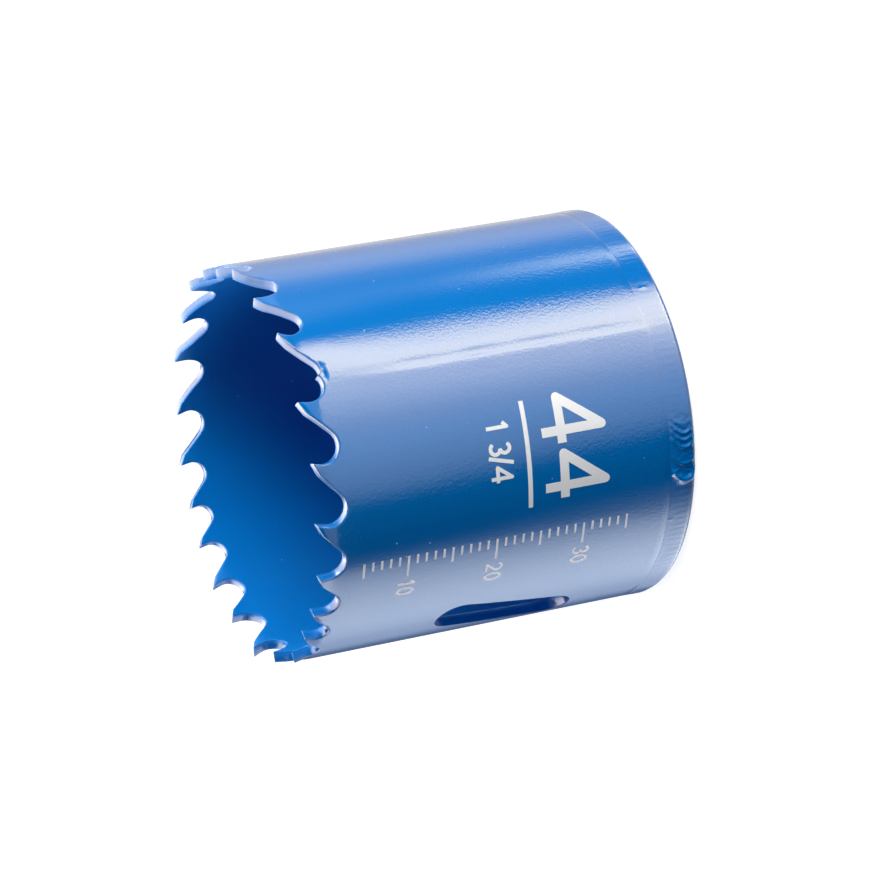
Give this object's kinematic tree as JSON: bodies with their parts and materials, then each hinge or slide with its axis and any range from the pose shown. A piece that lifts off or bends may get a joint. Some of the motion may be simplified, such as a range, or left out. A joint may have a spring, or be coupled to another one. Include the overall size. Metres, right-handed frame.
{
  "type": "hole saw",
  "caption": "Cup-shaped hole saw: a rolled and welded band with hooked, variable-pitch teeth round its mouth and slanted ejection slots, on a thick drilled base plate.",
  "frame": {"origin": "on the axis, at the base plate's back face", "axes": "+Z along the axis from the base plate to the teeth, +X and -X through the slots and the drive pin holes"},
  "size_m": [0.0435, 0.0429, 0.0432],
  "materials": {
    "blue_enamel": "glossy sprayed enamel, fairly thick",
    "blue_enamel_weld": "glossy sprayed enamel over a rippled weld"
  },
  "bodies": {
    "root": {"toothed_band": "blue_enamel", "base_plate": "blue_enamel", "rim_weld": "blue_enamel_weld"}
  },
  "joints": []
}
